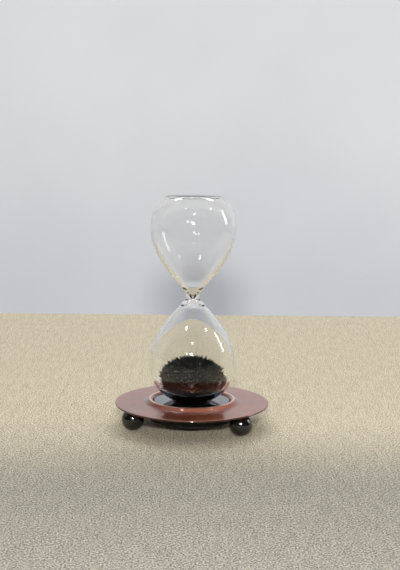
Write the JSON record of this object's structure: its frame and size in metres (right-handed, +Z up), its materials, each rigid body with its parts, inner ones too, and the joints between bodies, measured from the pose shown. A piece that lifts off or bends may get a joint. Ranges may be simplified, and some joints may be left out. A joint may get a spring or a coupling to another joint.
{
  "type": "hourglass",
  "caption": "Magnetic hourglass: a clear glass double bulb of black iron filings standing on a copper dish with ball feet and a hidden magnet.",
  "frame": {"origin": "on the table, on the common axis of the plate and the glass", "axes": "+Z up along the axis of the glass; -Y is the front, towards which no foot points; +X to the right seen from the front"},
  "size_m": [0.1, 0.1, 0.1503],
  "materials": {
    "copper": "antique copper, satin gloss",
    "seat_black": "mirror gloss black",
    "feet": "gloss charcoal",
    "ferrite": "dull ground ferrite",
    "cover": "fine matt grain",
    "steel": "zinc plated",
    "glass": "clear, blown",
    "filings": "black, spiky, dull",
    "plug": "clear silicone"
  },
  "bodies": {
    "base": {"copper_plate": "copper", "seat_housing": "seat_black", "magnet_disc": "ferrite", "base_cover": "cover", "cover_screw_1": "steel", "cover_screw_2": "steel", "cover_screw_3": "steel", "ball_foot_1": "feet", "ball_foot_2": "feet", "ball_foot_3": "feet", "foot_stud_1": "steel", "foot_stud_2": "steel", "foot_stud_3": "steel"},
    "glass": {"glass_vessel": "glass", "fill_plug": "plug", "iron_filings": "filings"}
  },
  "joints": [
    {"name": "glass_lift", "type": "slide", "parent": "base", "child": "glass", "axis": [0, 0, 1], "range_m": [0, 0.15]}
  ]
}
